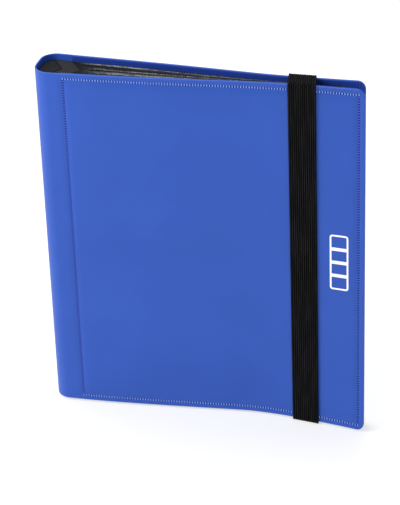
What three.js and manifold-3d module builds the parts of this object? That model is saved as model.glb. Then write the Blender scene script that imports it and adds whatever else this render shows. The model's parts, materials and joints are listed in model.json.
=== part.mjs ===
// Trading card binder with side-loading leaves and an elastic closing strap.
// It stands on its lower edge, with the spine towards -X and the front cover towards -Y.
// Millimetres, +Z up, origin in the middle of the footprint.
import * as THREE from 'three';
import { mergeVertices } from 'three/addons/utils/BufferGeometryUtils.js';
import Module from 'manifold-3d';

// ---- leaves: each is a black core sheet with a clear film folded round it ----
const leafCount = 20;
const pocketWidth = 75;
const pocketHeight = 98.5;
const pocketColumns = 2;
const pocketRows = 2;
const bindingMargin = 10.5;
const marginThickness = 0.7;
const marginToFilm = 0.3;
const coreThickness = 0.16;
const filmThickness = 0.05;
const filmGap = 0.02;
const leafGapAtFore = 0.08;
const marginGap = 0.4;

// ---- covers: one outer sheet round the spine, and a lining welded inside each cover ----
const sheetThickness = 0.8;
const liningThickness = 0.7;
const layerGap = 0.05;
const bendRadius = 7.5;
const overhangEnds = 3;
const overhangFore = 6;
const cornerRadius = 4.5;
const foreFlare = 0.5;
const spineRoom = 0.9;
const foreRoom = 0.25;
const cutGap = 0.2;
const liningFromSpine = 15.4;

// ---- print ----
const printWindows = 4;
const printWidth = 10.4;
const printLine = 1.3;
const printWindowLength = 6.6;
const printCornerRadius = 1.6;
const printFromMiddle = -1;
const printThickness = 0.06;
const printGap = 0.01;

// ---- elastic strap ----
const strapWidth = 15;
const strapThickness = 1.3;
const strapFromFore = 33.8;
const strapGap = 0.1;
const strapCornerReach = 4;
const coverBendSpread = 12;

// ---- binding that holds the leaves to the spine ----
const glueGap = 0.1;
const foldClear = 0.15;
const foldToBend = 0.9;
const stackGap = 0.08;

// ---- sizes that follow ----
const coreHalf = coreThickness / 2;
const filmInner = coreHalf + filmGap;
const leafHalf = filmInner + filmThickness;
const marginHalf = marginThickness / 2;
const forePitch = 2 * leafHalf + leafGapAtFore;
const spinePitch = marginThickness + marginGap;
const foldStep = marginThickness + stackGap;
const leavesPerSide = leafCount / 2;
const outerLeafAt = leavesPerSide - 0.5;
const coverWall = sheetThickness + layerGap + liningThickness;
const halfAtSpine = outerLeafAt * spinePitch + marginHalf + spineRoom + sheetThickness;
const halfAtStrap = outerLeafAt * forePitch + leafHalf + foreRoom + coverWall;
const spineFlatHalf = halfAtSpine - bendRadius;
const leafWidth = bindingMargin + pocketColumns * pocketWidth;
const leafHeight = pocketRows * pocketHeight;
const coverHeight = leafHeight + 2 * overhangEnds;
const coverLow = strapGap + strapThickness;
const coverHigh = coverLow + coverHeight;
const leafLow = coverLow + overhangEnds;
const leafHigh = leafLow + leafHeight;

// the inside of the strap's bend, tight enough to clear the square edge of a cover
const strapBendRadius = 3 * strapGap;

// the fold of each leaf lies just inside the bend of the outer sheet, measured from the spine's face
const outerFoldY = outerLeafAt * spinePitch;
const foldArc = bendRadius - sheetThickness - foldToBend;
const outerFoldIn = bendRadius - Math.sqrt(foldArc ** 2 - (outerFoldY - spineFlatHalf) ** 2);
const innerFoldIn = outerFoldIn + (leavesPerSide - 1) * foldStep;
const binderWidth = innerFoldIn + leafWidth + filmGap + filmThickness + overhangFore;
const spineX = -binderWidth / 2;
const foreX = binderWidth / 2;
const bendX = spineX + bendRadius;
const liningX = spineX + liningFromSpine;
const strapX = foreX - strapFromFore;
const strapLeft = strapX - strapWidth / 2;
const strapRight = strapX + strapWidth / 2;
const coverBendX = strapLeft - coverBendSpread;

const FRONT = -1;
const BACK = 1;
const curveSteps = 4;
const arcSteps = 8;
const cornerSteps = 4;

// ---- materials ----
function finish(color, roughness, opacity = 1) {
  return new THREE.MeshStandardMaterial({
    color,
    roughness,
    metalness: 0,
    opacity,
    transparent: opacity < 1,
  });
}
const finishes = {
  cover: () => finish(0x4060c4, 0.55),
  lining: () => finish(0x2947a4, 0.6),
  print: () => finish(0xf4f4f4, 0.45),
  elastic: () => finish(0x101012, 0.85),
  core: () => finish(0x26282b, 0.6),
  film: () => finish(0xc9cdd2, 0.15, 0.3),
  binding: () => finish(0x232527, 0.65),
};

const wasm = await Module();
wasm.setup();
const binder = new THREE.Group();

function addMesh(name, geometry, material, parent = binder) {
  const mesh = new THREE.Mesh(geometry, material);
  mesh.name = name;
  parent.add(mesh);
  return mesh;
}

// ---- outlines ----
// An open path moved sideways to its left, keeping the same distance round its corners.
function offsetPath(path, distance) {
  return path.map((point, i) => {
    const previous = path[Math.max(i - 1, 0)];
    const next = path[Math.min(i + 1, path.length - 1)];
    const along = next.clone().sub(previous).normalize();
    const arriving = i > 0 ? point.clone().sub(previous).normalize() : along;
    const left = new THREE.Vector2(-along.y, along.x);
    return point.clone().addScaledVector(left, distance / along.dot(arriving));
  });
}

// A thin band between two offsets of one path.
function ribbon(path, near, far) {
  const back = offsetPath(path, far).reverse();
  return new THREE.Shape([...offsetPath(path, near), ...back]);
}

function roundedRectangle(left, right, low, high, radius, roundLeft = true) {
  const r = Math.min(radius, (right - left) / 2, (high - low) / 2);
  const rl = roundLeft ? r : 0;
  const shape = new THREE.Shape();
  shape.moveTo(left + rl, low);
  shape.lineTo(right - r, low);
  shape.absarc(right - r, low + r, r, -Math.PI / 2, 0, false);
  shape.lineTo(right, high - r);
  shape.absarc(right - r, high - r, r, 0, Math.PI / 2, false);
  shape.lineTo(left + rl, high);
  if (roundLeft) {
    shape.absarc(left + r, high - r, r, Math.PI / 2, Math.PI, false);
    shape.lineTo(left, low + r);
    shape.absarc(left + r, low + r, r, Math.PI, 1.5 * Math.PI, false);
  }
  return shape;
}

// ---- solids ----
// A plan outline raised from one height to another.
function raise(outline, low, high) {
  const geometry = new THREE.ExtrudeGeometry(outline, { depth: high - low, bevelEnabled: false });
  return geometry.translate(0, 0, low);
}

// An outline in width and height, run through the whole thickness of one half of the binder.
function punch(outline, side) {
  const depth = halfAtSpine + strapThickness;
  const options = { depth, bevelEnabled: false, curveSegments: cornerSteps };
  const geometry = new THREE.ExtrudeGeometry(outline, options).rotateX(Math.PI / 2);
  return side === FRONT ? geometry : geometry.translate(0, depth, 0);
}

// An outline in depth and height, run across the strap's width.
function acrossStrap(outline) {
  const geometry = new THREE.ExtrudeGeometry(outline, { depth: strapWidth, bevelEnabled: false });
  const toDepthAndHeight = new THREE.Matrix4().makeBasis(
    new THREE.Vector3(0, 1, 0),
    new THREE.Vector3(0, 0, 1),
    new THREE.Vector3(1, 0, 0),
  );
  return geometry.applyMatrix4(toDepthAndHeight).translate(strapLeft, 0, 0);
}

function solidOf(geometry) {
  const bare = geometry.clone();
  bare.deleteAttribute('normal');
  bare.deleteAttribute('uv');
  const merged = mergeVertices(bare);
  return new wasm.Manifold(new wasm.Mesh({
    numProp: 3,
    vertProperties: new Float32Array(merged.attributes.position.array),
    triVerts: new Uint32Array(merged.index.array),
  }));
}

function trim(geometry, ...keeps) {
  let solid = solidOf(geometry);
  for (const keep of keeps) {
    solid = solid.intersect(solidOf(keep));
  }
  const mesh = solid.getMesh();
  const result = new THREE.BufferGeometry();
  result.setAttribute('position', new THREE.BufferAttribute(mesh.vertProperties, 3));
  result.setIndex(new THREE.BufferAttribute(mesh.triVerts, 1));
  result.computeVertexNormals();
  return result;
}

// ---- the curve of a closed binder, seen from above ----
// A straight run that narrows to the strap, an easy bend just before it, and a level run under it.
function closingRun(start, levelY, endX) {
  const corner = new THREE.Vector2(coverBendX, levelY);
  const towardsStart = start.clone().sub(corner).normalize();
  const before = corner.clone().addScaledVector(towardsStart, coverBendSpread);
  const after = new THREE.Vector2(strapLeft, levelY);
  const bend = new THREE.QuadraticBezierCurve(before, corner, after).getPoints(curveSteps);
  return [start, ...bend, new THREE.Vector2(endX, levelY)];
}

// The outer sheet's bend turns until it points straight at the cover's own bend beside the strap.
const bendTurn = (() => {
  const reach = new THREE.Vector2(coverBendX - bendX, halfAtStrap - spineFlatHalf);
  return Math.PI - Math.acos(bendRadius / reach.length()) - Math.atan2(reach.y, reach.x);
})();

function onBend(angle, side) {
  const x = bendX - bendRadius * Math.cos(angle);
  const y = side * (spineFlatHalf + bendRadius * Math.sin(angle));
  return new THREE.Vector2(x, y);
}

function bendPath(side) {
  const points = [];
  const startAngle = cutGap / bendRadius;
  const endAngle = bendTurn - cutGap / bendRadius;
  for (let i = 0; i <= arcSteps; i += 1) {
    points.push(onBend(THREE.MathUtils.lerp(startAngle, endAngle, i / arcSteps), side));
  }
  return points;
}

function coverPath(side, startX) {
  const path = closingRun(onBend(bendTurn, side), side * halfAtStrap, strapRight);
  path.push(new THREE.Vector2(foreX + cornerRadius, side * (halfAtStrap + foreFlare)));
  if (startX === undefined) {
    return path;
  }
  const fraction = (startX - path[0].x) / (path[1].x - path[0].x);
  return [path[0].clone().lerp(path[1], fraction), ...path.slice(1)];
}

// ---- covers ----
function coverOutline(startX) {
  return roundedRectangle(startX, foreX, coverLow, coverHigh, cornerRadius, false);
}

function addCover(side, name) {
  const inward = -side;
  const startX = onBend(bendTurn, side).x - cutGap;

  const sheet = raise(ribbon(coverPath(side), 0, inward * sheetThickness), coverLow, coverHigh);
  addMesh(`${name}_sheet`, trim(sheet, punch(coverOutline(startX), side)), finishes.cover());

  const liningOutside = inward * (sheetThickness + layerGap);
  const lining = ribbon(coverPath(side, liningX), liningOutside, inward * coverWall);
  const liningKeep = punch(coverOutline(liningX - 1), side);
  addMesh(`${name}_lining`, trim(raise(lining, coverLow, coverHigh), liningKeep), finishes.lining());
}

// A generic mark: a strip of empty card windows between the strap and the fore-edge.
function addPrint() {
  const ink = ribbon(coverPath(FRONT), -printGap, -(printGap + printThickness));
  const left = (strapRight + foreX) / 2 + printFromMiddle - printWidth / 2;
  const step = printWindowLength + printLine;
  const length = printWindows * step + printLine;
  const low = (coverLow + coverHigh) / 2 - length / 2;
  const strip = roundedRectangle(left, left + printWidth, low, low + length, printCornerRadius);
  const holeLeft = left + printLine;
  const holeRight = left + printWidth - printLine;
  for (let i = 0; i < printWindows; i += 1) {
    const holeLow = low + printLine + i * step;
    const holeHigh = holeLow + printWindowLength;
    const holeRadius = printCornerRadius - printLine / 2;
    strip.holes.push(roundedRectangle(holeLeft, holeRight, holeLow, holeHigh, holeRadius));
  }
  const mark = trim(raise(ink, coverLow, coverHigh), punch(strip, FRONT));
  addMesh('front_print', mark, finishes.print());
}

// ---- spine ----
function addSpine() {
  const flat = [
    new THREE.Vector2(spineX, -spineFlatHalf),
    new THREE.Vector2(spineX, spineFlatHalf),
  ];
  addMesh('spine_sheet', raise(ribbon(flat, 0, -sheetThickness), coverLow, coverHigh), finishes.cover());
  for (const [side, name] of [[FRONT, 'front_bend'], [BACK, 'back_bend']]) {
    const bend = ribbon(bendPath(side), 0, -side * sheetThickness);
    addMesh(name, raise(bend, coverLow, coverHigh), finishes.cover());
  }
}

// The black strip glued inside the spine. Its free face follows the folds of the leaves.
function addBinding() {
  const glued = spineX + sheetThickness + glueGap;
  const slope = Math.atan2(foldStep, spinePitch);
  const foldGap = (marginHalf + foldClear) / Math.cos(slope);
  const shoulder = spineX + outerFoldIn - foldGap;
  const crest = shoulder + outerLeafAt * foldStep;
  const outline = new THREE.Shape([
    new THREE.Vector2(glued, -spineFlatHalf),
    new THREE.Vector2(shoulder, -outerFoldY),
    new THREE.Vector2(crest, 0),
    new THREE.Vector2(shoulder, outerFoldY),
    new THREE.Vector2(glued, spineFlatHalf),
  ]);
  addMesh('page_binding', raise(outline, leafLow, leafHigh), finishes.binding());
}

// ---- leaves ----
// A leaf is built about its own fold, so that the group's place is the hinge it turns on.
function leafRun(number, foldX, foldY) {
  const fromMiddle = number - (leafCount + 1) / 2;
  const level = fromMiddle * forePitch;
  const run = closingRun(new THREE.Vector2(foldX, foldY), level, foldX + leafWidth);
  return run.map((point) => point.sub(new THREE.Vector2(foldX, foldY)));
}

function alongFirst([first, second], distance) {
  return first.clone().lerp(second, distance / second.distanceTo(first));
}

// The core is thick along the binding margin, which spaces the leaves at the spine.
function coreOutline(run) {
  const marginEnd = alongFirst(run, bindingMargin - marginToFilm);
  const margin = [run[0], marginEnd];
  const rest = [marginEnd, ...run.slice(1)];
  return new THREE.Shape([
    ...offsetPath(margin, marginHalf),
    ...offsetPath(rest, coreHalf),
    ...offsetPath(rest, -coreHalf).reverse(),
    ...offsetPath(margin, -marginHalf).reverse(),
  ]);
}

function filmOutline(run) {
  const start = alongFirst(run, bindingMargin);
  const past = run.at(-1).clone();
  past.x += filmGap;
  const inner = [start, ...run.slice(1, -1), past];
  const outer = [...inner.slice(0, -1), past.clone().setX(past.x + filmThickness)];
  return new THREE.Shape([
    ...offsetPath(outer, leafHalf),
    ...offsetPath(outer, -leafHalf).reverse(),
    ...offsetPath(inner, -filmInner),
    ...offsetPath(inner, filmInner).reverse(),
  ]);
}

function addLeaf(number) {
  const fromMiddle = number - (leafCount + 1) / 2;
  const fromOuter = outerLeafAt - Math.abs(fromMiddle);
  const foldX = spineX + outerFoldIn + fromOuter * foldStep;
  const foldY = fromMiddle * spinePitch;
  const run = leafRun(number, foldX, foldY);
  const name = `leaf_${String(number).padStart(2, '0')}`;
  const leaf = new THREE.Group();
  leaf.name = `${name}_turn`;
  leaf.position.set(foldX, foldY, 0);
  binder.add(leaf);
  addMesh(`${name}_core`, raise(coreOutline(run), leafLow, leafHigh), finishes.core(), leaf);
  addMesh(`${name}_film`, raise(filmOutline(run), leafLow, leafHigh), finishes.film(), leaf);
}

// ---- strap ----
// The strap runs down the front, over the top and bottom edges, and into the seam of the back cover.
function addStrap() {
  const inside = -(halfAtStrap + strapGap);
  const anchorFront = halfAtStrap - coverWall;
  const runLow = coverLow + strapCornerReach;
  const runHigh = coverHigh - strapCornerReach;

  const run = [new THREE.Vector2(inside, runLow), new THREE.Vector2(inside, runHigh)];
  addMesh('strap_front', acrossStrap(ribbon(run, 0, strapThickness)), finishes.elastic());

  const ends = [
    { name: 'top', edge: coverHigh, outward: 1 },
    { name: 'bottom', edge: coverLow, outward: -1 },
  ];
  for (const { name, edge, outward } of ends) {
    const level = edge + outward * strapGap;
    const corner = [];
    for (let i = 0; i <= cornerSteps; i += 1) {
      const angle = (i / cornerSteps) * (Math.PI / 2);
      corner.push(new THREE.Vector2(
        inside + strapBendRadius * (1 - Math.sin(angle)),
        level - outward * strapBendRadius * (1 - Math.cos(angle)),
      ));
    }
    const path = [
      new THREE.Vector2(anchorFront - cutGap, level),
      ...corner,
      new THREE.Vector2(inside, edge - outward * (strapCornerReach - cutGap)),
    ];
    const wrap = ribbon(path, 0, -outward * strapThickness);
    addMesh(`strap_${name}`, acrossStrap(wrap), finishes.elastic());

    const anchor = [new THREE.Vector2(halfAtStrap, level), new THREE.Vector2(anchorFront, level)];
    const end = ribbon(anchor, 0, -outward * strapThickness);
    addMesh(`strap_end_${name}`, acrossStrap(end), finishes.elastic());
  }
}

addSpine();
addBinding();
addCover(FRONT, 'front_cover');
addCover(BACK, 'back_cover');
addPrint();
for (let number = 1; number <= leafCount; number += 1) {
  addLeaf(number);
}
addStrap();

export default binder;
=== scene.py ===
"""A trading card binder dressed for its picture: cover, linings, seams, leaves, strap and light.

Metres, +Z up, the front cover towards -Y and the spine towards -X.
"""

import json
import math
from bisect import bisect_right

import bmesh
import bpy
from mathutils import Matrix, Vector, noise


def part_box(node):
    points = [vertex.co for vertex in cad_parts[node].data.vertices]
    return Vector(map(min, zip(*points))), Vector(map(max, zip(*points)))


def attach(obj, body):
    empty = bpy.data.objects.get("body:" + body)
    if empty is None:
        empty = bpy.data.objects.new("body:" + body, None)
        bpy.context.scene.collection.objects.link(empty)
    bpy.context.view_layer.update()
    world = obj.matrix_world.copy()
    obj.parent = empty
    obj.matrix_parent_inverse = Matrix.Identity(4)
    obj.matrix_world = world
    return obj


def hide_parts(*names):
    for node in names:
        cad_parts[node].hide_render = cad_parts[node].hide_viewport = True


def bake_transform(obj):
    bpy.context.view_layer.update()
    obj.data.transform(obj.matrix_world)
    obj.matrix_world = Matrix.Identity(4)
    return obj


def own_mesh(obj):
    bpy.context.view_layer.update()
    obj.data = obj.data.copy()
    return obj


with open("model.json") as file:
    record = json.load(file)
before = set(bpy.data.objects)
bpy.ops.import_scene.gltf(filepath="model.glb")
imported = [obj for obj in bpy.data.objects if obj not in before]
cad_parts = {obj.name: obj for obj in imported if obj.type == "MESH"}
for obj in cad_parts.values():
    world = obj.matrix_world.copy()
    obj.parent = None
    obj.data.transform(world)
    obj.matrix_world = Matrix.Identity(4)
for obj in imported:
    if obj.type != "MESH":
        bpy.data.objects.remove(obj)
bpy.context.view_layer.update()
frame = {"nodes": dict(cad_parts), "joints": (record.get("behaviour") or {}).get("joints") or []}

MM = 0.001
FRONT, BACK = -1, 1
SIDES = {"front": FRONT, "back": BACK}

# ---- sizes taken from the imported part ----
spine_from, spine_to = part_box("spine_sheet")
SPINE_X = spine_from.x
SPINE_FLAT_HALF = spine_to.y
SPINE_HALF = -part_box("front_bend")[0].y
SHEET = spine_to.x - spine_from.x
COVER_LOW, COVER_HIGH = spine_from.z, spine_to.z
COVER_MIDDLE = (COVER_LOW + COVER_HIGH) / 2
FORE_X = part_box("front_cover_sheet")[1].x
strap_from, strap_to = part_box("strap_front")
STRAP_LEFT, STRAP_RIGHT = strap_from.x, strap_to.x
STRAP_INSIDE = strap_to.y
STRAP_THICKNESS = strap_to.y - strap_from.y
HALF_AT_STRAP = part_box("strap_end_top")[1].y
LEAF_LOW, LEAF_HIGH = (corner.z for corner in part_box("page_binding"))

# ---- cover ----
BEND_RADIUS = 7.5 * MM
COVER_BEND_SPREAD = 12 * MM
FORE_FLARE = 0.4 * MM
CORNER_RADIUS = 4.5 * MM
LINING = 0.7 * MM
LAYER_GAP = 0.05 * MM
LINING_FROM_SPINE = 15.4 * MM
EDGE_ROUND = 0.22 * MM
# Top and bottom rims are painted paler up to the first distance, fading out by the second: partly
# wear, partly a painted highlight.
WEAR_AND_HIGHLIGHT_UP_TO = 0.1 * MM
WEAR_AND_HIGHLIGHT_GONE_FROM = 0.7 * MM
PAST_BEND = 1 * MM
BEND_STEP = 0.6 * MM
COVER_STEP = 4 * MM
COVER_STEP_UP = 9 * MM

# ---- welded seam round each cover ----
SEAM_FROM_SPINE = 16.9 * MM
SEAM_INSET = 2.9 * MM
SEAM_INSET_FORE = 3.4 * MM
SEAM_LOW, SEAM_HIGH = COVER_LOW + SEAM_INSET, COVER_HIGH - SEAM_INSET
SEAM_PITCH = 1.5 * MM
SEAM_MARK_LENGTH = 1.35 * MM
SEAM_MARK_WIDTH = 0.64 * MM
SEAM_MARK_HEIGHT = 0.2 * MM
SEAM_GROOVE_WIDTH = 1.9 * MM
SEAM_GROOVE_DEPTH = 0.1 * MM
SEAM_GROOVE_WALL = 0.2 * MM
MARKS_AT_A_TIME = 40

# ---- how a used binder has settled ----
# Each cover bulges between the spine and the strap, and the middle of the spine bows out.
BELLY_FROM = {FRONT: -88.6 * MM, BACK: -80 * MM}
BELLY_TO = 46 * MM
BELLY_LEAN = {FRONT: 0.58, BACK: 1.0}
BELLY_ROUND = 1.3
BELLY = {FRONT: 1.65 * MM, BACK: 0.7 * MM}
SPINE_BOW = 0.8 * MM
# The back cover has slid towards the spine, and the lower fore corner has turned forward.
BACK_SLIP = 1.9 * MM
TWIST = 9.6 * MM
TWIST_FROM = 20 * MM
TWIST_CURVE = 1.3

# ---- leaves ----
LEAF_COUNT = 20
LEAF_WIDTH = 160.5 * MM
BINDING_MARGIN = 10.5 * MM
MARGIN_THICKNESS = 0.7 * MM
MARGIN_TO_FILM = 0.3 * MM
MARGIN_ROUND = 0.2 * MM
SHEET_IN_MARGIN = 0.5 * MM
CORE_THICKNESS = 0.16 * MM
FILM_THICKNESS = 0.05 * MM
FORE_PITCH = 0.38 * MM
POCKET_COLUMNS, POCKET_ROWS = 2, 2
WELD_WIDTH = 1.6 * MM
POCKET_BULGE = 0.06 * MM
POCKET_SLOPE = 1.5 * MM
BEAD_WIDTH = 0.3 * MM
BEAD_HEIGHT = 0.3 * MM
FILM_WELD_PITCH = 1.6 * MM
# Beside each weld the film rises in a rim with a painted highlight, which starts, fades and ends at
# these distances.
RIM_STARTS, RIM_FADES, RIM_ENDS = 0.4 * MM, 0.5 * MM, 1.1 * MM
# Painted glints on the sealed edges start at the first of these places along a leaf, and fade between
# the others.
SHINE_FROM, SHINE_FADES, SHINE_DULL = 22 * MM, 50 * MM, 110 * MM
BEAD_STEP = 1.5 * MM
BEAD_SHORT = 1 * MM
LEAF_CORNER = 1 * MM
LEAF_STEP = 3 * MM
LEAF_STEP_UP = 16 * MM
# Leaves wave a little where nothing holds them, each in its own way.
LEAF_WAVE = 0.3 * MM
WAVE_GROWS_IN = 8 * MM
WAVES_ALONG, WAVES_UP = 28, 9
LEAVES_APART = 7.3
# Each leaf reads its finish from a place this much further on, so that no two look alike.
FINISH_SHIFT = 90 * MM
TAPE_THREAD = 0.32 * MM

# ---- strap ----
STRAP_RIBS = 13
RIB_HEIGHT = 0.34 * MM
RIB_ROUND = 0.7
CUTS_A_RIB = 6
STRAP_STEP = 3 * MM
STRAP_CORNER = 0.3 * MM
TAB_HEIGHT = 2.2 * MM
TAB_PROUD = 0.05 * MM
TAB_ROUND = 0.25 * MM
TAB_STEP = 0.6 * MM
KNIT_PITCH = 1.05 * MM

# ---- generic mark of four card windows ----
MARK_WINDOWS = 4
MARK_WIDTH = 10.4 * MM
MARK_LINE = 1.3 * MM
MARK_LENGTH = 32.9 * MM
MARK_CORNER = 1.6 * MM
MARK_THICKNESS = 0.05 * MM
MARK_FROM_MIDDLE = 1 * MM
MARK_STEP = 2 * MM


# ---------------------------------------------------------------- lines that sheets follow
class Run:
    """A line in a plane, read by the distance along it."""

    def __init__(self, points):
        self.points = [Vector(point) for point in points]
        self.reached = [0.0]
        for before, after in zip(self.points, self.points[1:]):
            self.reached.append(self.reached[-1] + (after - before).length)
        self.length = self.reached[-1]
        last = len(self.points) - 1
        self.headings = []
        for i in range(last + 1):
            step = self.points[min(i + 1, last)] - self.points[max(i - 1, 0)]
            self.headings.append(step.normalized())

    def at(self, distance):
        """The point at a distance along the line, and the direction to its left there."""
        i = min(max(bisect_right(self.reached, distance) - 1, 0), len(self.points) - 2)
        share = (distance - self.reached[i]) / (self.reached[i + 1] - self.reached[i])
        point = self.points[i].lerp(self.points[i + 1], share)
        turned = min(max(share, 0), 1)
        heading = self.headings[i].lerp(self.headings[i + 1], turned).normalized()
        return point, Vector((-heading.y, heading.x))

    def distance_at_x(self, x):
        """How far along the line it first passes x."""
        for i in range(len(self.points) - 1):
            before, after = self.points[i].x, self.points[i + 1].x
            if before <= x <= after and after > before:
                share = (x - before) / (after - before)
                return self.reached[i] + share * (self.reached[i + 1] - self.reached[i])
        return self.length


def share_between(value, low, high):
    """How far a value is on its way from low to high, from 0 to 1."""
    return min(max((value - low) / (high - low), 0), 1)


def arc_points(centre, radius, start, turn, steps):
    points = []
    for i in range(steps + 1):
        angle = start + turn * i / steps
        points.append(centre + radius * Vector((math.cos(angle), math.sin(angle))))
    return points


def easy_bend(before, corner, after, steps):
    points = []
    for i in range(steps + 1):
        share = i / steps
        points.append(before.lerp(corner, share).lerp(corner.lerp(after, share), share))
    return points


def closing_run(start, level, end):
    """Straight in towards the strap, an easy bend beside it, then level under it."""
    corner = Vector((STRAP_LEFT - COVER_BEND_SPREAD, level))
    before = corner + (start - corner).normalized() * COVER_BEND_SPREAD
    after = Vector((STRAP_LEFT, level))
    return [start, *easy_bend(before, corner, after, steps=12), Vector((end, level))]


bend_centre = Vector((SPINE_X + BEND_RADIUS, SPINE_FLAT_HALF))
reach = Vector((STRAP_LEFT - COVER_BEND_SPREAD, HALF_AT_STRAP)) - bend_centre
BEND_TURN = math.pi - math.acos(BEND_RADIUS / reach.length) - math.atan2(reach.y, reach.x)


def cover_run():
    """The outer face in plan, from the middle of the spine to the fore-edge, for either half."""
    bend = arc_points(bend_centre, BEND_RADIUS, math.pi, -BEND_TURN, steps=28)
    level = closing_run(bend[-1], HALF_AT_STRAP, STRAP_RIGHT)
    flare_from = Vector((STRAP_RIGHT, HALF_AT_STRAP))
    flare_bend = Vector(((STRAP_RIGHT + FORE_X) / 2, HALF_AT_STRAP))
    flare_to = Vector((FORE_X, HALF_AT_STRAP + FORE_FLARE))
    flare = easy_bend(flare_from, flare_bend, flare_to, steps=6)
    return Run([Vector((SPINE_X, 0)), *bend, *level[1:], *flare[1:]])


def leaf_run(number, fold):
    """A leaf's middle line in plan, from its fold to the fore-edge."""
    level = (number - (LEAF_COUNT + 1) / 2) * FORE_PITCH
    return Run(closing_run(Vector((fold.x, fold.y)), level, fold.x + LEAF_WIDTH))


def slipped(side, x):
    """How far a cover has slid towards the spine: only the back one, and not at the spine."""
    return BACK_SLIP * share_between(x, SPINE_X + BEND_RADIUS, 0) if side == BACK else 0


def bellied(side, x):
    """How far a cover bulges outward between the spine and the strap."""
    across = share_between(x, BELLY_FROM[side], BELLY_TO)
    return BELLY[side] * math.sin(math.pi * across ** BELLY_LEAN[side]) ** BELLY_ROUND


def twisted(x, z):
    """How far the whole binder has turned forward towards its lower fore corner."""
    lowness = 1 - share_between(z, COVER_LOW, COVER_HIGH)
    return TWIST * lowness * share_between(x, TWIST_FROM, FORE_X) ** TWIST_CURVE


# ---------------------------------------------------------------- sheet work
# Sheets are made flat: X along the line they follow, Y outward from it, Z up.
def flat_panel(start, end, low, high, corners=0.0, round_start=False):
    """One flat face, with its corners rounded at the end, or at both ends."""
    mesh = bmesh.new()
    stand_up = Matrix.Rotation(math.pi / 2, 4, "X")
    size = Matrix.Diagonal((end - start, 1, high - low, 1))
    place = Matrix.Translation(((start + end) / 2, 0, (low + high) / 2))
    bmesh.ops.create_grid(mesh, x_segments=1, y_segments=1, size=0.5, matrix=place @ size @ stand_up)
    if corners:
        rounded = [v for v in mesh.verts if round_start or v.co.x > (start + end) / 2]
        bmesh.ops.bevel(mesh, geom=rounded, offset=corners, offset_type="OFFSET", affect="VERTICES",
                        segments=8, profile=0.5, material=-1)
    return mesh


def cut_across(mesh, axis, places):
    """Cuts the whole mesh with planes square to one axis."""
    for place in places:
        everything = [*mesh.verts, *mesh.edges, *mesh.faces]
        bmesh.ops.bisect_plane(mesh, geom=everything, dist=1e-7,
                               plane_co=axis * place, plane_no=axis)


def evenly(start, end, step):
    """Places between two ends, about one step apart, without the ends."""
    count = max(int(round((end - start) / step)), 1)
    return [start + (end - start) * i / count for i in range(1, count)]


ALONG, UP = Vector((1, 0, 0)), Vector((0, 0, 1))
SHARP_TURN = 1.2
SAME_PLACE = 0.01 * MM


def thicken(mesh, thickness, top=0.0):
    """Gives flat faces their thickness, with the outermost point at the given height."""
    bmesh.ops.recalc_face_normals(mesh, faces=mesh.faces[:])
    bmesh.ops.solidify(mesh, geom=mesh.faces[:], thickness=thickness)
    highest = max(vertex.co.y for vertex in mesh.verts)
    bmesh.ops.translate(mesh, verts=mesh.verts[:], vec=(0, top - highest, 0))
    bmesh.ops.recalc_face_normals(mesh, faces=mesh.faces[:])


def gathered(*parts):
    """One piece of work made of several."""
    whole = bmesh.new()
    for part in parts:
        spare = bpy.data.meshes.new("spare")
        part.to_mesh(spare)
        part.free()
        whole.from_mesh(spare)
        bpy.data.meshes.remove(spare)
    return whole


def pattern(mesh):
    """Flat work kept as a pattern, for cutting the same piece many times."""
    kept = bpy.data.meshes.new("pattern")
    mesh.to_mesh(kept)
    mesh.free()
    return kept


def cut_from(kept):
    mesh = bmesh.new()
    mesh.from_mesh(kept)
    return mesh


def round_rim(mesh, amount, segments=3, from_x=None):
    """Rounds the sharp edges of a thickened sheet. Edges at or before from_x stay square."""
    sharp = [e for e in mesh.edges if len(e.link_faces) == 2 and e.calc_face_angle() > SHARP_TURN]
    if from_x is not None:
        sharp = [e for e in sharp if max(v.co.x for v in e.verts) > from_x]
    bmesh.ops.bevel(mesh, geom=sharp, offset=amount, offset_type="OFFSET", affect="EDGES",
                    segments=segments, profile=0.5, material=-1, clamp_overlap=True)


def remember_flat(mesh):
    """Keeps each point's flat place, in metres, for the finishes to read."""
    flat = mesh.verts.layers.float_vector.new("flat")
    for vertex in mesh.verts:
        vertex[flat] = vertex.co


def lay_on_cover(mesh, side):
    """Carries flat work onto a cover. Flat Y is the height above the outer face."""
    for vertex in mesh.verts:
        point, outward = outer.at(vertex.co.x)
        x, half = point + outward * vertex.co.y
        z = vertex.co.z
        y = side * (half + bellied(side, x)) - twisted(x, z)
        x -= SPINE_BOW * (1 - share_between(half, 0, SPINE_HALF) ** 2) * max(-outward.x, 0)
        vertex.co = (x - slipped(side, x), y, z)
    bmesh.ops.recalc_face_normals(mesh, faces=mesh.faces[:])


def as_piece(name, mesh, *finishes, smooth_below=40):
    """Turns finished work into an object, with creases kept where faces meet sharply."""
    data = bpy.data.meshes.new(name)
    mesh.to_mesh(data)
    mesh.free()
    for finish in finishes:
        data.materials.append(finish)
    data.shade_smooth()
    data.set_sharp_from_angle(angle=math.radians(smooth_below))
    piece = bpy.data.objects.new(name, data)
    bpy.context.scene.collection.objects.link(piece)
    return piece


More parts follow.
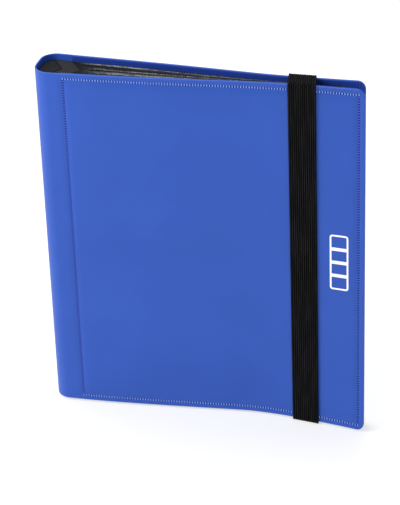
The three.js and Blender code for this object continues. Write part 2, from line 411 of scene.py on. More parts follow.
# ---------------------------------------------------------------- finishes
class Wire:
    """What comes out of a node, so that sums can be written on it."""

    def __init__(self, finish, socket):
        self.finish = finish
        self.socket = socket

    def _sum(self, operation, first, second=None):
        inputs = {0: first} if second is None else {0: first, 1: second}
        return self.finish.node("ShaderNodeMath", {"operation": operation}, inputs)

    def __add__(self, other):
        return self._sum("ADD", self, other)

    def __sub__(self, other):
        return self._sum("SUBTRACT", self, other)

    def __mul__(self, other):
        return self._sum("MULTIPLY", self, other)

    def __truediv__(self, other):
        return self._sum("DIVIDE", self, other)

    def __radd__(self, other):
        return self._sum("ADD", other, self)

    def __rsub__(self, other):
        return self._sum("SUBTRACT", other, self)

    def __rmul__(self, other):
        return self._sum("MULTIPLY", other, self)

    def __abs__(self):
        return self._sum("ABSOLUTE", self)

    def __pow__(self, other):
        return self._sum("POWER", self, other)

    def sine(self):
        return self._sum("SINE", self)

    def floor(self):
        return self._sum("FLOOR", self)

    def ramp(self, low, high):
        """0 up to low, 1 from high on, and smooth between them."""
        settings = {"interpolation_type": "SMOOTHSTEP"}
        inputs = {"Value": self, "From Min": low, "From Max": high}
        return self.finish.node("ShaderNodeMapRange", settings, inputs)


class Finish:
    """A material being written, one node at a time."""

    def __init__(self, name):
        self.material = bpy.data.materials.new(name)
        self.material.use_nodes = True
        self.tree = self.material.node_tree
        self.tree.nodes.clear()

    def node(self, kind, settings=None, inputs=None, output=0):
        made = self.tree.nodes.new(kind)
        for name, value in (settings or {}).items():
            setattr(made, name, value)
        for name, value in (inputs or {}).items():
            if isinstance(value, Wire):
                self.tree.links.new(value.socket, made.inputs[name])
            else:
                made.inputs[name].default_value = value
        return Wire(self, made.outputs[output])

    def flat(self):
        """The flat place of the sheet, in metres, as a vector."""
        return self.node("ShaderNodeAttribute", {"attribute_name": "flat"}, output="Vector")

    def place(self):
        return self.node("ShaderNodeTexCoord", output="Object")

    def parts(self, vector):
        split = self.node("ShaderNodeSeparateXYZ", inputs={0: vector})
        outputs = split.socket.node.outputs
        return [Wire(self, outputs[axis]) for axis in "XYZ"]

    def noise(self, vector, scale, detail=2.0, stretch=None):
        if stretch:
            inputs = {0: vector, 1: stretch}
            vector = self.node("ShaderNodeVectorMath", {"operation": "MULTIPLY"}, inputs)
        inputs = {"Vector": vector, "Scale": scale, "Detail": detail}
        return self.node("ShaderNodeTexNoise", inputs=inputs)

    def mix(self, share, first, second):
        settings = {"data_type": "RGBA", "clamp_factor": True}
        return self.node("ShaderNodeMix", settings, {0: share, 6: first, 7: second}, output=2)

    def least(self, first, second):
        return self.node("ShaderNodeMath", {"operation": "MINIMUM"}, {0: first, 1: second})

    def bump(self, height, distance, strength=1.0):
        inputs = {"Height": height, "Distance": distance, "Strength": strength}
        return self.node("ShaderNodeBump", inputs=inputs)

    def done(self, **surface):
        """The finished material. Sockets are named with _ for a space."""
        inputs = {name.replace("_", " "): value for name, value in surface.items()}
        shader = self.node("ShaderNodeBsdfPrincipled", inputs=inputs)
        last = self.tree.nodes.new("ShaderNodeOutputMaterial")
        self.tree.links.new(shader.socket, last.inputs["Surface"])
        return self.material


def srgb(red, green, blue):
    """A colour written as on a screen, 0 to 255, turned into light."""
    channels = []
    for value in (red, green, blue):
        share = value / 255
        low = share / 12.92
        high = ((share + 0.055) / 1.055) ** 2.4
        channels.append(low if share <= 0.04045 else high)
    return (*channels, 1.0)


def pressed_sheet(name, colour, light_colour, dark_colour, grain=0.02 * MM, gloss=0.42):
    """Coloured plastic sheet with a fine pressed grain, soft mottling, and rims paler from wear and a
    painted highlight.
    """
    sheet = Finish(name)
    flat = sheet.flat()
    _, _, up = sheet.parts(flat)
    cloud = sheet.noise(flat, scale=26, detail=3)
    speckle = sheet.noise(flat, scale=2600, detail=2)
    pebble = sheet.noise(flat, scale=900, detail=3)
    scuffs = sheet.noise(flat, scale=60, detail=5, stretch=(1, 1, 0.15)).ramp(0.62, 0.8)
    base = sheet.mix(cloud.ramp(0.3, 0.7) * 0.5, colour, dark_colour)
    base = sheet.mix(speckle.ramp(0.35, 0.8) * 0.12, base, light_colour)
    from_rim = sheet.least(up - COVER_LOW, COVER_HIGH - up)
    # Paler rims: partly rubbed wear, partly a painted highlight along the top and bottom edges.
    rim_wear_and_highlight = (1 - from_rim.ramp(WEAR_AND_HIGHLIGHT_UP_TO, WEAR_AND_HIGHLIGHT_GONE_FROM)) * (0.1 + 0.35 * cloud)
    base = sheet.mix(rim_wear_and_highlight, base, light_colour)
    roughness = gloss + 0.1 * pebble - 0.06 * scuffs
    bump = sheet.bump(speckle * 0.4 + pebble, distance=grain, strength=0.9)
    return sheet.done(Base_Color=base, Roughness=roughness, Normal=bump, Specular_IOR_Level=0.28)


def seam_finish(name, colour, light_colour):
    """The raised marks of the welded seam, with a painted highlight making them paler along the top
    and bottom of the cover.
    """
    weld = Finish(name)
    flat = weld.flat()
    _, _, up = weld.parts(flat)
    patchy = weld.noise(flat, scale=900, detail=2)
    # Painted highlight: the marks in the top and bottom rows turn paler, as if lit from above.
    row_starts = SEAM_HIGH - COVER_MIDDLE - SEAM_MARK_LENGTH
    level = abs(up - COVER_MIDDLE).ramp(row_starts, row_starts + SEAM_MARK_LENGTH / 2)
    base = weld.mix(level * (0.7 + 0.5 * patchy), colour, light_colour)
    bump = weld.bump(weld.noise(flat, scale=3200), distance=0.01 * MM)
    return weld.done(Base_Color=base, Roughness=0.4 + 0.15 * patchy, Normal=bump,
                     Specular_IOR_Level=0.3)


def elastic_finish():
    """Woven elastic: matt black ribs with short knitted stitches along each one, with a painted
    highlight on the rib crowns and painted shade in the valleys.
    """
    elastic = Finish("black_elastic")
    across, _, along = elastic.parts(elastic.flat())
    rib = (across - STRAP_LEFT) * (STRAP_RIBS / (STRAP_RIGHT - STRAP_LEFT))
    stagger = rib.floor() * 0.5
    stitch = ((along / KNIT_PITCH + stagger) * (2 * math.pi)).sine() * 0.5 + 0.5
    crown = abs((rib * math.pi).sine())
    ridge = crown ** 5
    yarn = elastic.noise(elastic.flat(), scale=1500, detail=4, stretch=(1, 1, 0.35))
    uneven = elastic.noise(elastic.flat(), scale=420, detail=3, stretch=(1.6, 1, 0.2))
    # The knitted stitches show pale only along the rib crowns: a painted highlight.
    stitches_and_highlight = ridge * (0.25 + 0.75 * stitch.ramp(0.3, 0.8)) * (0.45 + 0.55 * uneven.ramp(0.4, 0.66))
    # The rib crowns are painted paler than the near-black valleys: painted shade between the ribs.
    base = elastic.mix(yarn.ramp(0.3, 0.8) * crown, srgb(1, 1, 1), srgb(9, 9, 10))
    base = elastic.mix(stitches_and_highlight, base, srgb(50, 50, 54))
    height = crown * 0.5 + stitch * crown * 0.3 + yarn * 0.35
    bump = elastic.bump(height, distance=0.14 * MM)
    return elastic.done(Base_Color=base, Roughness=0.86 + 0.1 * yarn, Normal=bump,
                        Specular_IOR_Level=0.08)


def page_finish(name, colour, light_colour):
    """Embossed black sheet of the leaves."""
    page = Finish(name)
    flat = page.flat()
    emboss = page.noise(flat, scale=1400, detail=2)
    cloud = page.noise(flat, scale=45, detail=3)
    base = page.mix(emboss.ramp(0.35, 0.75) * 0.35 + cloud * 0.25, colour, light_colour)
    bump = page.bump(emboss, distance=0.04 * MM)
    return page.done(Base_Color=base, Roughness=0.5 + 0.15 * cloud, Normal=bump,
                     Specular_IOR_Level=0.3)


def from_nearest_line(place, low, high, spaces):
    """How far a place is from the nearest of the lines that share a length into equal spaces."""
    space = (high - low) / spaces
    steps = (place - low) / space
    return abs(steps - (steps + 0.5).floor()) * space


def film_finish():
    """Clear glossy film: hazy over each pocket, dark where it is welded, with a painted highlight at
    the weld's rim and rare painted glints.
    """
    film = Finish("clear_film")
    flat = film.flat()
    along, _, up = film.parts(flat)
    from_column = from_nearest_line(along, BINDING_MARGIN, LEAF_WIDTH, POCKET_COLUMNS)
    from_row = from_nearest_line(up, LEAF_LOW, LEAF_HIGH, POCKET_ROWS)
    from_weld = film.least(from_column, from_row)
    weld_ends = WELD_WIDTH / 2
    pocket = from_weld.ramp(weld_ends, weld_ends + RIM_STARTS)
    # Painted highlight along the rim beside each weld.
    rim = pocket * (1 - from_weld.ramp(weld_ends + RIM_FADES, weld_ends + RIM_ENDS))
    cloud = film.noise(flat, scale=16, detail=3)
    fine = film.noise(flat, scale=700, detail=2)
    # Painted glints: rare white streaks of reflected light, painted into the colour and the opacity.
    painted_glint = film.noise(flat, scale=42, detail=4, stretch=(1.6, 1, 0.3)).ramp(0.69, 0.74)
    base = film.mix(painted_glint + rim * fine, srgb(138, 145, 151), srgb(236, 240, 244))
    alpha = 0.05 + 0.16 * pocket + 0.09 * cloud + 0.4 * painted_glint + 0.22 * rim * fine
    wave = film.noise(flat, scale=30, detail=3, stretch=(1, 1, 0.4))
    bump = film.bump(wave, distance=0.5 * MM)
    return film.done(Base_Color=base, Roughness=0.13 + 0.1 * fine, Normal=bump, Alpha=alpha,
                     Specular_IOR_Level=0.6)


def film_edge_finish():
    """The sealed edges of the film: a row of short welds, with painted glints in long streaks."""
    edge = Finish("film_edge")
    along, _, _ = edge.parts(edge.flat())
    weld = (along * (2 * math.pi / FILM_WELD_PITCH)).sine() * 0.5 + 0.5
    # Patches of leaves whose sealed edges get painted glints.
    glint_patches = edge.noise(edge.flat(), scale=14, detail=1, stretch=(0.5, 1, 0.2)).ramp(0.5, 0.6)
    fine = edge.noise(edge.flat(), scale=520, detail=2).ramp(0.42, 0.62)
    past_fold = along.ramp(BINDING_MARGIN, BINDING_MARGIN + SHINE_FROM)
    near_spine = 1 - along.ramp(BINDING_MARGIN + SHINE_FADES, BINDING_MARGIN + SHINE_DULL)
    shine = past_fold * (0.4 + 0.6 * near_spine)
    # Painted glints: the welds turn near white within the patches, brightest near the spine.
    painted_glint = glint_patches * (0.25 + 0.75 * weld) * (0.3 + 0.7 * fine) * shine
    base = edge.mix(painted_glint, srgb(24, 26, 29), srgb(250, 252, 255))
    return edge.done(Base_Color=base, Roughness=0.3 + 0.2 * fine, Specular_IOR_Level=0.4)


def print_finish():
    """White ink laid on the cover, a little thin in places."""
    ink = Finish("white_print")
    flat = ink.flat()
    thin = ink.noise(flat, scale=1100, detail=3)
    base = ink.mix(thin.ramp(0.62, 0.85) * 0.35, srgb(250, 250, 252), srgb(205, 214, 240))
    bump = ink.bump(thin, distance=0.01 * MM)
    return ink.done(Base_Color=base, Roughness=0.4 + 0.1 * thin, Normal=bump)


def binding_finish():
    """Black fabric tape over the folds of the leaves."""
    tape = Finish("binding_tape")
    place = tape.place()
    _, y, z = tape.parts(place)
    weave = (y * (2 * math.pi / TAPE_THREAD)).sine() * (z * (2 * math.pi / TAPE_THREAD)).sine()
    cloud = tape.noise(place, scale=160, detail=4)
    base = tape.mix(cloud.ramp(0.3, 0.8), srgb(10, 11, 13), srgb(20, 22, 24))
    bump = tape.bump(weave * 0.5 + cloud, distance=0.05 * MM)
    return tape.done(Base_Color=base, Roughness=0.7 + 0.15 * cloud, Normal=bump,
                     Specular_IOR_Level=0.2)


COVER_BLUE = pressed_sheet("cover_blue", srgb(40, 82, 178), srgb(74, 114, 212), srgb(34, 74, 166))
# The pressed groove is painted darker than the sheet round it: painted shade in the recess.
GROOVE_SHADE_BLUE = pressed_sheet("groove_painted_shade", srgb(8, 30, 116), srgb(16, 44, 136), srgb(5, 22, 98))
INNER_GROOVE_SHADE_BLUE = pressed_sheet("inner_groove_painted_shade", srgb(26, 58, 150), srgb(44, 80, 178),
                                  srgb(20, 50, 136))
LINING_BLUE = pressed_sheet("lining_blue", srgb(30, 64, 160), srgb(60, 98, 200), srgb(24, 56, 146),
                            grain=0.03 * MM, gloss=0.5)
# The seam marks are paler than the cover: partly paler welded plastic, partly a painted highlight on
# the raised marks.
SEAM_BLUE = seam_finish("seam_marks", srgb(58, 102, 214), srgb(128, 168, 255))
INNER_SEAM_BLUE = seam_finish("inner_seam_marks", srgb(30, 64, 158), srgb(36, 72, 168))
ELASTIC = elastic_finish()
PAGE_BLACK = page_finish("page_black", srgb(12, 13, 15), srgb(30, 32, 36))
FILM = film_finish()
FILM_EDGE = film_edge_finish()
WHITE_INK = print_finish()
TAPE = binding_finish()


# ---------------------------------------------------------------- cover
outer = cover_run()
FORE_AT = outer.distance_at_x(FORE_X)
LINING_AT = outer.distance_at_x(SPINE_X + LINING_FROM_SPINE)
SEAM_AT = outer.distance_at_x(SPINE_X + SEAM_FROM_SPINE)
SEAM_FORE_AT = FORE_AT - SEAM_INSET_FORE
BEND_ENDS_AT = SPINE_FLAT_HALF + BEND_RADIUS * BEND_TURN
LINING_FACE = -(SHEET + LAYER_GAP + LINING)


def press_groove(mesh, first, last):
    """Presses the band that the seam lies in, round three edges and down beside the spine."""
    half = SEAM_GROOVE_WIDTH / 2
    cut_across(mesh, ALONG, [first - half, first + half, last - half, last + half])
    cut_across(mesh, UP, [SEAM_LOW - half, SEAM_LOW + half, SEAM_HIGH - half, SEAM_HIGH + half])

    def within(spot, room):
        return first - room < spot.x < last + room and SEAM_LOW - room < spot.z < SEAM_HIGH + room

    def in_band(face):
        spot = face.calc_center_median()
        return within(spot, half) and not within(spot, -half)

    band = [face for face in mesh.faces if in_band(face)]
    bmesh.ops.recalc_face_normals(mesh, faces=mesh.faces[:])
    towards_out = sum(face.normal.y for face in band) > 0
    depth = -SEAM_GROOVE_DEPTH if towards_out else SEAM_GROOVE_DEPTH
    bmesh.ops.inset_region(mesh, faces=band, thickness=SEAM_GROOVE_WALL, depth=depth,
                           use_even_offset=True)
    # The groove band takes the second finish, darkened with painted shade.
    for face in band:
        face.material_index = 1


def skin_pattern():
    mesh = flat_panel(0, FORE_AT, COVER_LOW, COVER_HIGH, corners=CORNER_RADIUS)
    press_groove(mesh, SEAM_AT, SEAM_FORE_AT)
    cut_across(mesh, ALONG, evenly(0, BEND_ENDS_AT + PAST_BEND, BEND_STEP))
    cut_across(mesh, ALONG, evenly(BEND_ENDS_AT + PAST_BEND, FORE_AT, COVER_STEP))
    cut_across(mesh, UP, evenly(COVER_LOW, COVER_HIGH, COVER_STEP_UP))
    thicken(mesh, SHEET)
    round_rim(mesh, EDGE_ROUND, from_x=SAME_PLACE)
    remember_flat(mesh)
    return pattern(mesh)


def cover_skin(label, side, kept):
    """Half of the outer sheet, from the middle of the spine round its bend to the fore-edge."""
    mesh = cut_from(kept)
    lay_on_cover(mesh, side)
    skin = as_piece(f"{label}_cover_skin", mesh, COVER_BLUE, GROOVE_SHADE_BLUE)
    bend_end, _ = outer.at(BEND_ENDS_AT)
    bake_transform(skin)
    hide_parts(f"{label}_cover_sheet", f"{label}_bend")
    return skin


def lining_pattern():
    mesh = flat_panel(LINING_AT, FORE_AT, COVER_LOW, COVER_HIGH, corners=CORNER_RADIUS)
    press_groove(mesh, SEAM_AT, SEAM_FORE_AT)
    cut_across(mesh, ALONG, evenly(LINING_AT, FORE_AT, COVER_STEP))
    cut_across(mesh, UP, evenly(COVER_LOW, COVER_HIGH, COVER_STEP_UP))
    thicken(mesh, LINING)
    round_rim(mesh, EDGE_ROUND)
    bmesh.ops.scale(mesh, verts=mesh.verts[:], vec=(1, -1, 1))
    bmesh.ops.translate(mesh, verts=mesh.verts[:], vec=(0, LINING_FACE, 0))
    remember_flat(mesh)
    return pattern(mesh)


def cover_lining(label, side, kept):
    """The lining inside a cover, welded to the outer sheet along the seam."""
    mesh = cut_from(kept)
    lay_on_cover(mesh, side)
    lining = as_piece(f"{label}_cover_inside", mesh, LINING_BLUE, INNER_GROOVE_SHADE_BLUE)
    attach(lining, f"{label}_cover")
    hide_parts(f"{label}_cover_lining")
    return lining


def seam_places():
    """Where each mark of the seam goes, and whether it lies along the height."""
    places = []
    row = [SEAM_AT, *evenly(SEAM_AT, SEAM_FORE_AT, SEAM_PITCH), SEAM_FORE_AT]
    for z in (SEAM_LOW, SEAM_HIGH):
        places += [(x, z, True) for x in row]
    for x in (SEAM_AT, SEAM_FORE_AT):
        places += [(x, z, False) for z in evenly(SEAM_LOW, SEAM_HIGH, SEAM_PITCH)]
    return places


def seam_pattern():
    """The short raised marks that lie across the seam, all round one face of a cover."""
    groups = []
    places = seam_places()
    for first in range(0, len(places), MARKS_AT_A_TIME):
        mesh = bmesh.new()
        for x, z, upright in places[first:first + MARKS_AT_A_TIME]:
            wide, tall = SEAM_MARK_LENGTH, SEAM_MARK_WIDTH
            if upright:
                wide, tall = tall, wide
            size = Matrix.Diagonal((wide / 2, SEAM_MARK_HEIGHT, tall / 2, 1))
            spot = Matrix.Translation((x, 0, z))
            bmesh.ops.create_uvsphere(mesh, u_segments=8, v_segments=5, radius=1, matrix=spot @ size)
        groups.append(mesh)
    return pattern(gathered(*groups))


def seam_row(label, side, name, height, finish, kept):
    mesh = cut_from(kept)
    bmesh.ops.translate(mesh, verts=mesh.verts[:], vec=(0, height, 0))
    remember_flat(mesh)
    lay_on_cover(mesh, side)
    row = as_piece(f"{label}_cover_{name}", mesh, finish)
    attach(row, f"{label}_cover")
    return row


# ---------------------------------------------------------------- print
def window_mark():
    """A generic mark: a strip of four empty card windows."""
    left = (STRAP_RIGHT + FORE_X) / 2 - MARK_FROM_MIDDLE - MARK_WIDTH / 2
    start = outer.distance_at_x(left)
    low = COVER_MIDDLE - MARK_LENGTH / 2
    high = low + MARK_LENGTH
    mesh = flat_panel(start, start + MARK_WIDTH, low, high, MARK_CORNER, round_start=True)
    step = (MARK_LENGTH - MARK_LINE) / MARK_WINDOWS
    lines = [low + MARK_LINE / 2 + step * i for i in range(1, MARK_WINDOWS)]
    cut_across(mesh, UP, lines)
    made = bmesh.ops.inset_individual(mesh, faces=mesh.faces[:], thickness=MARK_LINE / 2,
                                      use_even_offset=True)
    windows = [face for face in mesh.faces if face not in made["faces"]]
    bmesh.ops.inset_individual(mesh, faces=windows, thickness=MARK_LINE / 4, use_even_offset=True)
    bmesh.ops.delete(mesh, geom=windows, context="FACES")
    cut_across(mesh, UP, evenly(low, high, MARK_STEP))
    thicken(mesh, MARK_THICKNESS * 2, top=MARK_THICKNESS)
    remember_flat(mesh)
    lay_on_cover(mesh, FRONT)
    mark = as_piece("window_mark", mesh, WHITE_INK)
    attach(mark, "front_cover")
    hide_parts("front_print")
    return mark


# ---------------------------------------------------------------- strap
def strap_run():
    """The strap's inner face, from behind the lower edge, up the front, to behind the top edge."""
    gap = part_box("strap_end_top")[0].z - COVER_HIGH
    low, high = COVER_LOW - gap, COVER_HIGH + gap
    quarter = math.pi / 2
    front = STRAP_INSIDE + STRAP_CORNER
    lower = arc_points(Vector((front, low + STRAP_CORNER)), STRAP_CORNER, -quarter, -quarter, steps=6)
    upper = arc_points(Vector((front, high - STRAP_CORNER)), STRAP_CORNER, math.pi, -quarter, steps=6)
    return Run([Vector((HALF_AT_STRAP, low)), *lower, *upper, Vector((HALF_AT_STRAP, high))])


strap_line = strap_run()
WRAP_LENGTH = HALF_AT_STRAP - STRAP_INSIDE - STRAP_CORNER


def corner_cuts(start, end):
    """Close cuts beside the corners: past one less than halfway to the end, before any other."""
    bend = math.pi / 2 * STRAP_CORNER
    places = []
    for corner in (WRAP_LENGTH, strap_line.length - WRAP_LENGTH):
        reach = bend if corner < end / 2 else -bend
        places += [corner + reach * share for share in (-0.1, 0.25, 0.5, 0.75, 1.1)]
    return [spot for spot in places if start < spot < end]


def strap_piece(name, start, end):
    """A length of ribbed elastic laid along the strap's line."""
    mesh = bmesh.new()
    pieces = max(int((end - start) / STRAP_STEP), 4)
    size = Matrix.Diagonal((STRAP_RIGHT - STRAP_LEFT, end - start, 1, 1))
    place = Matrix.Translation(((STRAP_LEFT + STRAP_RIGHT) / 2, 0, (start + end) / 2))
    bmesh.ops.create_grid(mesh, x_segments=STRAP_RIBS * CUTS_A_RIB, y_segments=pieces, size=0.5,
                          matrix=place @ Matrix.Rotation(math.pi / 2, 4, "X") @ size)
    cut_across(mesh, UP, corner_cuts(start, end))
    thicken(mesh, STRAP_THICKNESS - RIB_HEIGHT, top=STRAP_THICKNESS - RIB_HEIGHT)
    round_rim(mesh, EDGE_ROUND)
    for vertex in mesh.verts:
        rib = (vertex.co.x - STRAP_LEFT) / (STRAP_RIGHT - STRAP_LEFT) * STRAP_RIBS
        crown = abs(math.sin(math.pi * rib)) ** RIB_ROUND
        vertex.co.y += RIB_HEIGHT * crown
    remember_flat(mesh)
    for vertex in mesh.verts:
        point, outward = strap_line.at(vertex.co.z)
        y, z = point + outward * vertex.co.y
        in_front = share_between(-y, -HALF_AT_STRAP, HALF_AT_STRAP)
        x = vertex.co.x
        y -= in_front * bellied(FRONT, x) + twisted(x, z)
        vertex.co = (x - BACK_SLIP * (1 - in_front), y, z)
    bmesh.ops.recalc_face_normals(mesh, faces=mesh.faces[:])
    return as_piece(name, mesh, ELASTIC)


def strap():
    """The front run with both its corners, and the two wraps behind it."""
    run = strap_piece("strap_run", WRAP_LENGTH, strap_line.length - WRAP_LENGTH)
    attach(run, "strap")
    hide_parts("strap_front")
    wraps = {
        "bottom": (0, WRAP_LENGTH),
        "top": (strap_line.length - WRAP_LENGTH, strap_line.length),
    }
    for where, (start, end) in wraps.items():
        wrap = strap_piece(f"strap_wrap_{where}", start, end)
        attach(wrap, "strap")
        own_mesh(wrap)
        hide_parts(f"strap_{where}")


def strap_end(where, outward):
    """The end of the strap, caught in the edge of the back cover between its sheet and lining."""
    low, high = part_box(f"strap_end_{where}")
    level = COVER_HIGH if outward > 0 else COVER_LOW
    mesh = bmesh.new()
    middle = level + outward * (TAB_PROUD - TAB_HEIGHT / 2)
    size = Matrix.Diagonal((STRAP_RIGHT - STRAP_LEFT, high.y - low.y, TAB_HEIGHT, 1))
    spot = Matrix.Translation(((STRAP_LEFT + STRAP_RIGHT) / 2, (low.y + high.y) / 2, middle))
    bmesh.ops.create_cube(mesh, size=1, matrix=spot @ size)
    cut_across(mesh, ALONG, evenly(STRAP_LEFT, STRAP_RIGHT, TAB_STEP))
    sharp = [edge for edge in mesh.edges if edge.calc_face_angle() > SHARP_TURN]
    bmesh.ops.bevel(mesh, geom=sharp, offset=TAB_ROUND, offset_type="OFFSET", affect="EDGES",
                    segments=3, profile=0.5, material=-1)
    remember_flat(mesh)
    for vertex in mesh.verts:
        x, y, z = vertex.co
        vertex.co = (x - BACK_SLIP, y - twisted(x, z), z)
    end = as_piece(f"strap_tab_{where}", mesh, ELASTIC)
    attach(end, "back_cover")
    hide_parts(f"strap_end_{where}")


# ---------------------------------------------------------------- leaves
def loose(distance, shut_at):
    """How far a leaf may wave at a distance along it: freely near the spine, not at the strap."""
    free = 1 - share_between(distance, BINDING_MARGIN, shut_at)
    started = share_between(distance, BINDING_MARGIN, BINDING_MARGIN + WAVE_GROWS_IN)
    return LEAF_WAVE * free * started


def lay_on_leaf(mesh, number, run):
    """Carries flat work onto a leaf, with a slight wave. Flat Y is the height above its middle."""
    shut_at = run.distance_at_x(STRAP_LEFT - COVER_BEND_SPREAD)
    flat = mesh.verts.layers.float_vector["flat"]
    for vertex in mesh.verts:
        along, height, z = vertex.co
        vertex[flat] = (along, height + number * FINISH_SHIFT, z)
        point, outward = run.at(along)
        swing = noise.noise(Vector((along * WAVES_ALONG, number * LEAVES_APART, z * WAVES_UP)))
        x, y = point + outward * (height + swing * loose(along, shut_at))
        vertex.co = (x, y - twisted(x, z), z)
    bmesh.ops.recalc_face_normals(mesh, faces=mesh.faces[:])


def sheet_pattern():
    """The black sheet, with its thick binding margin."""
    margin_ends = BINDING_MARGIN - MARGIN_TO_FILM
    margin = flat_panel(0, margin_ends, LEAF_LOW, LEAF_HIGH)
    thicken(margin, MARGIN_THICKNESS, top=MARGIN_THICKNESS / 2)
    round_rim(margin, MARGIN_ROUND, segments=2)
    sheet = flat_panel(margin_ends - SHEET_IN_MARGIN, LEAF_WIDTH, LEAF_LOW, LEAF_HIGH, LEAF_CORNER)
    cut_across(sheet, ALONG, evenly(BINDING_MARGIN, LEAF_WIDTH, LEAF_STEP))
    cut_across(sheet, UP, evenly(LEAF_LOW, LEAF_HIGH, LEAF_STEP_UP))
    thicken(sheet, CORE_THICKNESS, top=CORE_THICKNESS / 2)
    mesh = gathered(margin, sheet)
    remember_flat(mesh)
    return pattern(mesh)


def pocket_film(face_side):
    """Film on one face of a leaf, welded round each pocket."""
    columns = (LEAF_WIDTH - BINDING_MARGIN) / POCKET_COLUMNS
    rows = (LEAF_HIGH - LEAF_LOW) / POCKET_ROWS
    film = flat_panel(BINDING_MARGIN, LEAF_WIDTH, LEAF_LOW, LEAF_HIGH)
    cut_across(film, ALONG, [BINDING_MARGIN + columns])
    cut_across(film, UP, [LEAF_LOW + rows])
    pockets = film.faces[:]
    bmesh.ops.inset_individual(film, faces=pockets, thickness=WELD_WIDTH / 2, use_even_offset=True)
    bmesh.ops.inset_individual(film, faces=pockets, thickness=POCKET_SLOPE, use_even_offset=True)
    raised = {vertex for face in pockets for vertex in face.verts}
    bmesh.ops.translate(film, verts=list(raised), vec=(0, POCKET_BULGE, 0))
    cut_across(film, ALONG, evenly(BINDING_MARGIN, LEAF_WIDTH, LEAF_STEP))
    cut_across(film, UP, evenly(LEAF_LOW, LEAF_HIGH, LEAF_STEP_UP))
    thicken(film, FILM_THICKNESS, top=CORE_THICKNESS / 2 + FILM_THICKNESS + POCKET_BULGE)
    bmesh.ops.scale(film, verts=film.verts[:], vec=(1, face_side, 1))
    return film


def sealed_edge(level, inward):
    """The bead where the film is sealed along the top or the bottom of a leaf."""
    inner = level + inward * BEAD_HEIGHT
    low, high = min(level, inner), max(level, inner)
    bead = flat_panel(BINDING_MARGIN, LEAF_WIDTH - BEAD_SHORT, low, high)
    cut_across(bead, ALONG, evenly(BINDING_MARGIN, LEAF_WIDTH, BEAD_STEP))
    thicken(bead, BEAD_WIDTH, top=BEAD_WIDTH / 2)
    for face in bead.faces:
        face.material_index = 1
    return bead


def film_pattern():
    edges = [sealed_edge(LEAF_LOW, 1), sealed_edge(LEAF_HIGH, -1)]
    mesh = gathered(pocket_film(1), pocket_film(-1), *edges)
    remember_flat(mesh)
    return pattern(mesh)


def leaf(number, sheet_cut, film_cut):
    """One leaf of the stack, its black sheet and the film on both its faces."""
    name = f"leaf_{number:02d}"
    fold = next(joint["pos_m"] for joint in frame["joints"] if joint["name"] == f"{name}_turn")
    run = leaf_run(number, Vector(fold))
    sheet = cut_from(sheet_cut)
    lay_on_leaf(sheet, number, run)
    sheet = as_piece(f"{name}_sheet", sheet, PAGE_BLACK)
    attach(sheet, name)
    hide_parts(f"{name}_core")
    film = cut_from(film_cut)
    lay_on_leaf(film, number, run)
    film = as_piece(f"{name}_pockets", film, FILM, FILM_EDGE)
    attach(film, name)
    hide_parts(f"{name}_film")


# ---------------------------------------------------------------- the binder
skin_cut, lining_cut, seam_cut = skin_pattern(), lining_pattern(), seam_pattern()
for label, side in SIDES.items():
    skin = cover_skin(label, side, skin_cut)
    if side == FRONT:
        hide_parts("spine_sheet")
    cover_lining(label, side, lining_cut)
    seam_row(label, side, "outer_seam", -SEAM_GROOVE_DEPTH, SEAM_BLUE, seam_cut)
    seam_row(label, side, "inner_seam", LINING_FACE + SEAM_GROOVE_DEPTH, INNER_SEAM_BLUE, seam_cut)
window_mark()
strap()
strap_end("top", 1)
strap_end("bottom", -1)
leaf_sheet_cut, leaf_film_cut = sheet_pattern(), film_pattern()
for number in range(1, LEAF_COUNT + 1):
    leaf(number, leaf_sheet_cut, leaf_film_cut)

binding = frame["nodes"]["page_binding"]
binding.data.materials.clear()
binding.data.materials.append(TAPE)


# ---------------------------------------------------------------- floor, light and camera
FLOOR_HALF = 6


def pale_floor():
    mesh = bmesh.new()
    bmesh.ops.create_grid(mesh, x_segments=1, y_segments=1, size=FLOOR_HALF)
    paper = Finish("pale_paper")
    cloud = paper.noise(paper.place(), scale=2, detail=2)
    tone = paper.mix(cloud, (0.5, 0.5, 0.5, 1), (0.54, 0.54, 0.54, 1))
    finish = paper.done(Base_Color=tone, Roughness=0.9, Emission_Color=(1, 1, 1, 1),
                        Emission_Strength=0.56)
    floor = as_piece("floor", mesh, finish)


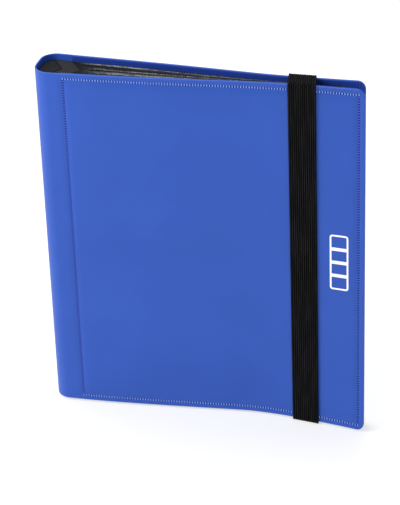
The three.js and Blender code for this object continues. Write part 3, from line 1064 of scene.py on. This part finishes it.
def soft_light(name, place, target, size, power):
    lamp = bpy.data.lights.new(name, "AREA")
    lamp.shape = "DISK"
    lamp.size = size
    lamp.energy = power
    holder = bpy.data.objects.new(name, lamp)
    holder.location = place
    holder.rotation_mode = "QUATERNION"
    holder.rotation_quaternion = (Vector(target) - Vector(place)).to_track_quat("-Z", "Y")
    bpy.context.scene.collection.objects.link(holder)


CAMERA_AZIMUTH = math.radians(15.415)
CAMERA_ELEVATION = math.radians(28.605)
CAMERA_ROLL = math.radians(2.33)
CAMERA_DISTANCE = 1340 * MM
CAMERA_AIM = Vector((-3.38, -3.57, 98.33)) * MM
CAMERA_LENS = 220.2
CAMERA_SENSOR = 36


def camera():
    lens = bpy.data.cameras.new("camera")
    lens.sensor_fit = "HORIZONTAL"
    lens.sensor_width = CAMERA_SENSOR
    lens.lens = CAMERA_LENS
    lens.clip_start, lens.clip_end = 0.05, 50
    level = math.cos(CAMERA_ELEVATION)
    back = Vector((
        math.sin(CAMERA_AZIMUTH) * level,
        -math.cos(CAMERA_AZIMUTH) * level,
        math.sin(CAMERA_ELEVATION),
    ))
    holder = bpy.data.objects.new("camera", lens)
    holder.location = CAMERA_AIM + back * CAMERA_DISTANCE
    holder.rotation_mode = "QUATERNION"
    upright = (-back).to_track_quat("-Z", "Y")
    holder.rotation_quaternion = upright @ Matrix.Rotation(-CAMERA_ROLL, 3, "Z").to_quaternion()
    bpy.context.scene.collection.objects.link(holder)
    bpy.context.scene.camera = holder


pale_floor()
soft_light("key", (-0.62, -0.42, 0.6), (-0.1, 0, 0.13), 0.5, 5.5)
soft_light("fill", (1.4, -1.5, 0.9), (0, 0, 0.1), 1.6, 1)
soft_light("top", (-0.35, 0.6, 1.7), (0, 0, 0.1), 1.1, 15)
world = bpy.data.worlds.new("studio")
world.use_nodes = True
background = world.node_tree.nodes["Background"]
background.inputs["Color"].default_value = (1, 1, 1, 1)
background.inputs["Strength"].default_value = 0.53
bpy.context.scene.world = world
bpy.context.scene.view_settings.view_transform = "Standard"
camera()
